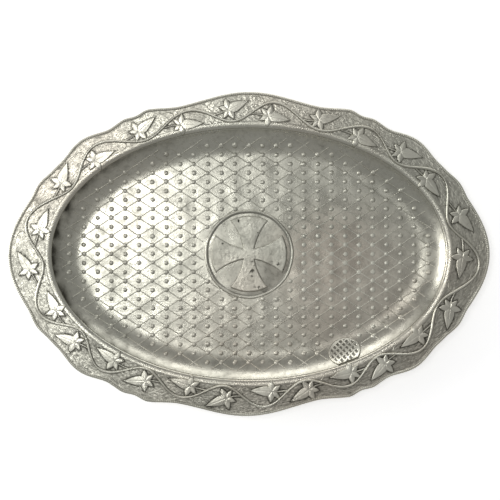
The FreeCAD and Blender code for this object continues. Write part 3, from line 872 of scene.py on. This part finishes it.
# %% The tendrils
TENDRIL_STEPS = 26
TENDRIL_TURNS = np.linspace(0, np.pi, 6)
TENDRIL_PROFILE = np.stack([-0.24 * np.cos(TENDRIL_TURNS), 0.30 * np.sin(TENDRIL_TURNS) - 0.06], -1)


def on_wave(number, share, out_share):
    """A place a share of the way from one crest to the next, and a share of the border out."""
    here, after = crest_place(number), crest_place(number + 1)
    angle = float(angle_at(here + share * (after - here)))
    return mouth(angle, out_share * border_width(angle))


tendril_points, tendril_faces, first = [], [], 0
for number in range(WAVES):
    curls = (
        (stem_place(number, 0.17)[0], on_wave(number, 0.09, 0.96), on_wave(number, 0.33, 0.87)),
        (stem_place(number, 0.74)[0], on_wave(number, 0.66, 0.22), on_wave(number, 0.82, 0.17)),
    )
    for curl in curls:
        rod = bent_rod(*curl, TENDRIL_STEPS, TENDRIL_PROFILE, taper_from=2 / 3)
        tendril_points.append(rod)
        tendril_faces += rod_faces(TENDRIL_STEPS, len(TENDRIL_PROFILE), first)
        first += len(rod)
make_piece(
    "tendrils", np.concatenate(tendril_points), tendril_faces, "vine", raised_pewter,
    tarnish=np.full(first, 0.15)
)

# %% [markdown]
# ## The border plate
#
# The ground of the border was matted with a small punch so that the leaves stand out, and the
# narrow band by the mouth was left smooth. The plate is a closed grid: its rows run from the
# rounded lip out to the wire, back underneath and up again. The punching is real relief made from
# random heights. Tarnish gathers close to the leaves and stem, so a k-d tree, which is quick at
# finding the nearest of many points, gives each point's distance to them. Painted shade darkens
# the ground towards the right and the lower side.

# %% The border plate
from mathutils.kdtree import KDTree

edge_points = np.concatenate(leaf_edges + [stem_xy])
tree = KDTree(len(edge_points))
for index, (x, y) in enumerate(edge_points):
    tree.insert((x, y, 0), index)
tree.balance()
RIM_COLUMNS, TOP_ROWS, LIP_ROWS = 1200, 44, 9
rim_angle = angle_at(np.arange(RIM_COLUMNS) / RIM_COLUMNS * GIRTH)
rim_edge = outline_out(rim_angle) - WIRE_WIDTH + 0.35


def rim_rows():
    """(share of the way out, extra out, height over the surface) for each row, once round."""
    turns = np.linspace(0.12, math.pi / 2, LIP_ROWS)
    rows = [(0.0, 0.0, -PLATE + 0.02)]
    rows += [(0.0, LIP_REACH * (1 - math.cos(t)), 0.0) for t in turns]
    rows += [(share, LIP_REACH * (1 - share), 0.0) for share in np.linspace(0.02, 1, TOP_ROWS)]
    rows += [(1.0, 0.0, -0.9), (1.0, 0.0, -PLATE)]
    rows += [(share, 0.0, -PLATE) for share in np.linspace(0.9, 0.06, 8)]
    return np.array(rows)


rows = rim_rows()
share, extra, lift = rows[:, 0][:, None], rows[:, 1][:, None], rows[:, 2][:, None]
out = share * rim_edge + extra
rim_xy = mouth(rim_angle[None, :] + 0 * out, out)
level = flat_height(out) + lift
level[1 : 1 + LIP_ROWS] -= lip_drop(out[1 : 1 + LIP_ROWS])
top = slice(1 + LIP_ROWS, 1 + LIP_ROWS + TOP_ROWS)
smooth_band = 2.9 + 0.5 * unevenness(rim_xy[top, :, 0], rim_xy[top, :, 1])
matted = np.clip((out[top] - smooth_band) / 0.7, 0, 1) * np.clip((rim_edge - out[top]) / 0.5, 0, 1)
punched = rng.uniform(-1, 1, matted.shape)
punched = (punched + np.roll(punched, 1, 1) * 0.5) / 1.3
near = np.array([tree.find((x, y, 0))[2] for x, y in rim_xy[top].reshape(-1, 2)]).reshape(matted.shape)
waves = unevenness(2 * rim_xy[top, :, 0], 2 * rim_xy[top, :, 1])
level[top] += matted * (0.07 * punched - 0.10) + 0.05 * waves
rim_tarnish = np.zeros(level.shape)
halo = np.exp(-np.clip(near - 0.15, 0, None) / 0.35)
by_wire = np.exp(-np.clip(rim_edge - 0.3 - out[top], 0, None) / 0.3)
# Painted shade: the matted ground gets darker towards the right and the lower side, away from the light.
far_side_shade = 0.36 + 0.22 * rim_xy[top, :, 0] / MOUTH_LONG - 0.52 * rim_xy[top, :, 1] / MOUTH_SHORT
ground_grime_and_shade = 0.05 + 0.40 * np.clip(far_side_shade, 0, 1) - 0.34 * punched + 0.80 * halo
rim_tarnish[top] = np.clip(matted * ground_grime_and_shade + 0.10 * by_wire, 0, 1)
rim_points = np.concatenate([rim_xy, level[..., None]], -1)
rim = make_piece(
    "border_plate", rim_points.reshape(-1, 3), [squares(len(rows), RIM_COLUMNS, True, True)], "rim",
    border_pewter, tarnish=rim_tarnish
)
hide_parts("rim")

# %% [markdown]
# ## The milled wire
#
# The edge is knurled, about one notch per millimetre. The wire is a rounded profile carried round
# the outline. It narrows once for each notch, and the notches lean a little, as on a rope.

# %% The milled wire
NOTCHES, SAMPLES_PER_NOTCH, NOTCH_DEPTH = 640, 6, 0.10
wire_count = NOTCHES * SAMPLES_PER_NOTCH
fine_angle = np.linspace(0, 360, 14401)
wire_length = lengths_along(mouth(fine_angle, outline_out(fine_angle) - WIRE_WIDTH / 2))
even = np.arange(wire_count) / wire_count * wire_length[-1]
wire_angle = np.interp(even, wire_length, fine_angle)
wire_out = outline_out(wire_angle) - WIRE_WIDTH / 2
wire_xy = mouth(wire_angle, wire_out)
wire_turn = np.linspace(0, 2 * np.pi, 14, endpoint=False)
lean = np.arange(wire_count)[:, None] / SAMPLES_PER_NOTCH * 2 * np.pi + 1.1 * wire_turn[None, :]
notch = 1 - NOTCH_DEPTH * (0.5 + 0.5 * np.cos(lean)) ** 2
wire_across = 0.88 * np.cos(wire_turn) * notch
wire_rise = 1.28 * np.sign(np.sin(wire_turn)) * np.abs(np.sin(wire_turn)) ** 0.8 * notch
wire_profile = np.stack([wire_across, wire_rise], -1)
wire_middle = np.column_stack([wire_xy, border_height(wire_out) - PLATE / 2])
wire_points = sweep(wire_middle, sides_of(wire_xy), wire_profile)
wire = make_piece(
    "milled_wire", wire_points.reshape(-1, 3), [squares(wire_count, len(wire_turn), True, True)],
    "edge_wire", wire_pewter, tarnish=np.clip((1 - notch) / NOTCH_DEPTH, 0, 1) * 0.30
)
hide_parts("edge_wire")
print(f"wire {wire_length[-1]:.0f} mm long, {wire_length[-1] / NOTCHES:.2f} mm to a notch")

# %% [markdown]
# ## The ring and the cross
#
# The ring is a thin raised line round the cross, and not quite round. The cross has four arms that
# widen to the ring, with hollow sides. An arm is a grid: its rows run out along the arm and its
# columns across it. A point's height depends on its distance to the arm's edge, which rounds the
# edge evenly, and slow dents make the flat top look cast.

# %% The ring
ring_low, ring_high = box_mm("cross_ring")
RING_HALF_WIDTH = 0.7
ring_middle = (ring_high[0] - ring_low[0]) / 2 - RING_HALF_WIDTH
RING_SAMPLES = 720
ring_turn = np.linspace(0, 2 * np.pi, RING_SAMPLES, endpoint=False)
wobble = 0.10 * np.sin(3 * ring_turn + 1) + 0.07 * np.sin(7 * ring_turn)
wobble = wobble + 0.05 * np.sin(13 * ring_turn + 2)
ring_xy = np.stack([np.cos(ring_turn), np.sin(ring_turn)], -1) * (ring_middle + wobble)[:, None]
# Across from the middle of the line (the cross is on the minus side), height, and tarnish.
RING_SECTION = (
    (-1.30, -0.06, 0.6),
    (-1.25, 0.03, 0.2),
    (-0.68, 0.01, 0.5),
    (-0.44, 0.30, 0.1),
    (-0.18, 0.48, 0.0),
    (0.16, 0.48, 0.0),
    (0.48, 0.26, 0.0),
    (0.84, -0.06, 0.0),
)
ring_profile = np.array(RING_SECTION)[:, :2]
ring_level = inside_height(ring_xy[:, 0], ring_xy[:, 1])
ring_profiles = np.tile(ring_profile, (RING_SAMPLES, 1, 1))
ring_points = sweep(np.column_stack([ring_xy, ring_level]), sides_of(ring_xy), ring_profiles)
ring_tarnish = np.array(RING_SECTION)[:, 2]
ring_piece = make_piece(
    "ring_line", ring_points.reshape(-1, 3),
    [squares(RING_SAMPLES, len(ring_profile), True, True)[:, ::-1]], "cross", raised_pewter,
    tarnish=np.tile(ring_tarnish, RING_SAMPLES)
)
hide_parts("cross_ring")


# %% The cross
CORE, FLARE, CORNER_UP, SIDE_RADIUS, REACH = 2.9, 9.8, 16.74, 29.0, 19.4
CROSS_TOP, CROSS_EDGE = 1.0, 0.85
ARM_LONG, ARM_WIDE, CORE_ROWS = 90, 61, 12


def arm_side():
    """Half width and height of one arm's side, from the centre out: a 45 degree line, then an arc."""
    low, high = np.array([CORE, CORE]), np.array([FLARE, CORNER_UP])
    half = np.linalg.norm(high - low) / 2
    way = (high - low) / (2 * half)
    off = right_of(way)
    centre = (low + high) / 2 + off * math.sqrt(SIDE_RADIUS**2 - half**2)
    swing = math.asin(half / SIDE_RADIUS)
    turn = np.linspace(-swing, swing, ARM_LONG - CORE_ROWS)[:, None]
    arc = centre + SIDE_RADIUS * (way * np.sin(turn) - off * np.cos(turn))
    core = np.linspace(0, 1, CORE_ROWS, endpoint=False)[:, None] * low
    return np.concatenate([core, arc])


side_line = arm_side()
share_across = np.sin(np.linspace(-1, 1, ARM_WIDE) * np.pi / 2)
arm_x = side_line[:, 0][:, None] * share_across
tip_bulge = np.sqrt(REACH**2 - arm_x**2) - CORNER_UP
arm_y = side_line[:, 1][:, None] + tip_bulge * (side_line[:, 1][:, None] / CORNER_UP) ** 6
side_points = side_line[CORE_ROWS:]
end_points = np.stack([arm_x[-1], arm_y[-1]], -1)[::-1]
arm_line = np.concatenate([side_points, end_points, side_points * [-1, 1]])
flat_arm = np.stack([arm_x, arm_y], -1).reshape(-1, 2)
arm_edge = np.linalg.norm(flat_arm[:, None] - arm_line[None], axis=-1).min(1)
arch = np.sqrt(1 - (1 - np.clip(arm_edge / CROSS_EDGE, 0, 1)) ** 2)
cross_points, cross_faces, cross_tarnish = [], [], []
per_arm = len(flat_arm)
skirt_ids = np.arange(per_arm).reshape(ARM_LONG, ARM_WIDE)
for quarter, (c, s) in enumerate(((1, 0), (0, 1), (-1, 0), (0, -1))):
    x = flat_arm[:, 0] * c - flat_arm[:, 1] * s
    y = flat_arm[:, 0] * s + flat_arm[:, 1] * c
    cast_dents = 0.5 * unevenness(6 * x, 6 * y) + 0.5 * unevenness(13 * y, 13 * x)
    top_level = CROSS_TOP * arch + 0.10 * cast_dents * arch - 0.04
    ground = inside_height(x, y)
    cross_points.append(np.column_stack([x, y, ground + top_level]))
    cross_points.append(np.column_stack([x, y, ground - 0.15]))
    cross_tarnish += [np.clip(1 - arch * 1.6, 0, 1) * 0.8 + 0.15 * (cast_dents < -0.2), np.ones(per_arm)]
    grid_faces = squares(ARM_LONG, ARM_WIDE, False, False)[:, ::-1] + quarter * 2 * per_arm
    cross_faces += [grid_faces, grid_faces[:, ::-1] + per_arm]
    for line, flip in ((skirt_ids[CORE_ROWS:, 0], 1), (skirt_ids[-1], 1), (skirt_ids[CORE_ROWS:, -1], -1)):
        wall = np.stack([line[:-1], line[:-1] + per_arm, line[1:] + per_arm, line[1:]], -1)
        cross_faces.append(wall[:, ::-flip] + quarter * 2 * per_arm)


def casting_pits(tree, place):
    """Tarnish at the foot of the cross, and in scattered pits: the dark middles of noise."""
    pits = steps(tree, clouds(tree, place, 330.0, 2.0, 0.6), 0.62, 0.70)
    where = steps(tree, clouds(tree, place, 75.0, 1.0), 0.50, 0.60)
    pits = calc(tree, "MULTIPLY", calc(tree, "MULTIPLY", pits, where), 0.85)
    return calc(tree, "ADD", tarnish_value(tree, place), pits, clamp=True)


cross_pewter = pewter("cross_pewter", casting_pits, rub=0.35, grain=0.5, rough=0.38, grain_scale=700.0)
cross = make_piece(
    "cross_pattee", np.concatenate(cross_points), cross_faces, "cross", cross_pewter,
    tarnish=np.concatenate(cross_tarnish)
)
close_seams(cross)
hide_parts("cross")

# %% [markdown]
# ## The latticed plaque
#
# A small oval plaque lies against the wall of the well. Its lattice is two families of slanting
# bars with square pits between them. The grid is a square bent into an oval, so it has no pole,
# and each point's height comes from how far it is from the nearest bar.

# %% The plaque
PLAQUE_STEPS, LATTICE = 110, 2.25
across = np.linspace(-1, 1, PLAQUE_STEPS)
u, v = np.meshgrid(across, across, indexing="ij")
disc_u, disc_v = u * np.sqrt(1 - v**2 / 2), v * np.sqrt(1 - u**2 / 2)
plaque_angle = -59.5
plaque_centre = mouth(plaque_angle, -5.4)
plaque_way = unit(mouth(plaque_angle + 1) - mouth(plaque_angle - 1))
plaque_up = -right_of(plaque_way)
flat_u, flat_v = disc_u * PLAQUE_LONG, disc_v * PLAQUE_SHORT
plaque_xy = plaque_centre + flat_u[..., None] * plaque_way + flat_v[..., None] * plaque_up
beyond = np.clip(out_from_mouth(plaque_xy) + 0.35, 0, None)
outwards = plaque_xy / np.array([MOUTH_LONG**2, MOUTH_SHORT**2])
plaque_xy = plaque_xy - unit(outwards) * beyond[..., None]
edge = np.clip((1 - np.hypot(disc_u, disc_v)) * 6.4, 0, None)
first_bars = np.abs(np.mod((flat_u * 0.95 + flat_v * 0.45) / LATTICE, 1) - 0.5) * LATTICE
second_bars = np.abs(np.mod((flat_u * -0.45 + flat_v * 0.9) / LATTICE, 1) - 0.5) * LATTICE
pit = np.clip((np.minimum(first_bars, second_bars) - 0.36) / 0.22, 0, 1)
pit = pit * np.clip((edge - 0.8) / 0.3, 0, 1)
plaque_lift = 0.85 * np.clip(edge / 0.25, 0, 1) ** 0.5 - 0.40 * pit
plaque_ground = inside_height(plaque_xy[..., 0], plaque_xy[..., 1])
leans = inside_normal(plaque_xy[..., 0], plaque_xy[..., 1])
plaque_seat = np.concatenate([plaque_xy, plaque_ground[..., None]], -1)
plaque_top = plaque_seat + leans * plaque_lift[..., None]
plaque_foot = plaque_seat - leans * 0.2
count = PLAQUE_STEPS * PLAQUE_STEPS
numbers = np.arange(count).reshape(PLAQUE_STEPS, PLAQUE_STEPS)
border_loop = np.concatenate([numbers[:-1, 0], numbers[-1, :-1], numbers[:0:-1, -1], numbers[0, :0:-1]])
next_loop = np.roll(border_loop, -1)
side_faces = np.stack([border_loop, border_loop + count, next_loop + count, next_loop], -1)
top_faces = squares(PLAQUE_STEPS, PLAQUE_STEPS, False, False)
plaque = make_piece(
    "lattice_plaque", np.concatenate([plaque_top.reshape(-1, 3), plaque_foot.reshape(-1, 3)]),
    [top_faces, top_faces[:, ::-1] + count, side_faces], "plaque", raised_pewter,
    tarnish=np.concatenate([np.clip(0.72 * pit + 0.6 * (edge < 0.15), 0, 1).ravel(), np.ones(count)])
)
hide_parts("mark_plaque")

# %% [markdown]
# ## Floor, light and camera
#
# The plate lies on a plain white table. A soft box hangs over its upper left, so that part is
# washed out. Two low boxes on the left and at the back graze the relief, so its edges catch light
# and the far side goes grey. A pale room fills the rest.

# %% The table
floor_mesh = bpy.data.meshes.new("table_top")
reach = 3.0
floor_mesh.from_pydata(
    [(-reach, -reach, 0), (reach, -reach, 0), (reach, reach, 0), (-reach, reach, 0)], [], [(0, 1, 2, 3)]
)
table_top = bpy.data.objects.new("table_top", floor_mesh)
scene.collection.objects.link(table_top)
table_white = bpy.data.materials.new("table_white")
table_white.use_nodes = True
table_shader = table_white.node_tree.nodes["Principled BSDF"]
WHITE = {"Base Color": (0.93, 0.93, 0.93, 1), "Roughness": 0.9, "Specular IOR Level": 0.1}
GLOW = {"Emission Color": (1, 1, 1, 1), "Emission Strength": 0.50}
for socket, value in (WHITE | GLOW).items():
    table_shader.inputs[socket].default_value = value
table_top.data.materials.append(table_white)


# %% Lights
def soft_light(name, place, aim, size, power):
    """A rectangular area light at a place, in metres, that faces its aim."""
    lamp = bpy.data.lights.new(name, "AREA")
    lamp.shape = "RECTANGLE"
    lamp.size, lamp.size_y = size
    lamp.energy = power
    holder = bpy.data.objects.new(name, lamp)
    holder.location = place
    holder.rotation_euler = (Vector(aim) - Vector(place)).to_track_quat("-Z", "Y").to_euler()
    scene.collection.objects.link(holder)


soft_light("near_box", (-0.22, 0.09, 0.90), (-0.22, 0.09, 0.0), (0.22, 0.30), 1.35)
soft_light("left_box", (-0.70, 0.06, 0.15), (0.0, 0.06, 0.05), (0.45, 0.30), 2.7)
soft_light("back_box", (0.0, 0.80, 0.18), (0.0, 0.0, 0.08), (1.1, 0.36), 2.8)
world = bpy.data.worlds.new("pale_room")
scene.world = world
world.use_nodes = True
room = world.node_tree.nodes["Background"]
room.inputs["Color"].default_value = (1.0, 1.0, 1.0, 1)
room.inputs["Strength"].default_value = 0.37

# %% Camera
camera = bpy.data.cameras.new("camera")
camera_holder = bpy.data.objects.new("camera", camera)
scene.collection.objects.link(camera_holder)
HEIGHT, SPAN = 0.60, 0.250
camera.sensor_width = 36
camera.lens = 36 * (HEIGHT - LAND * MM) / SPAN
camera.clip_start = 0.05
camera_holder.location = (0.0005, 0.0020, HEIGHT)
scene.camera = camera_holder
scene.view_settings.view_transform = "Standard"
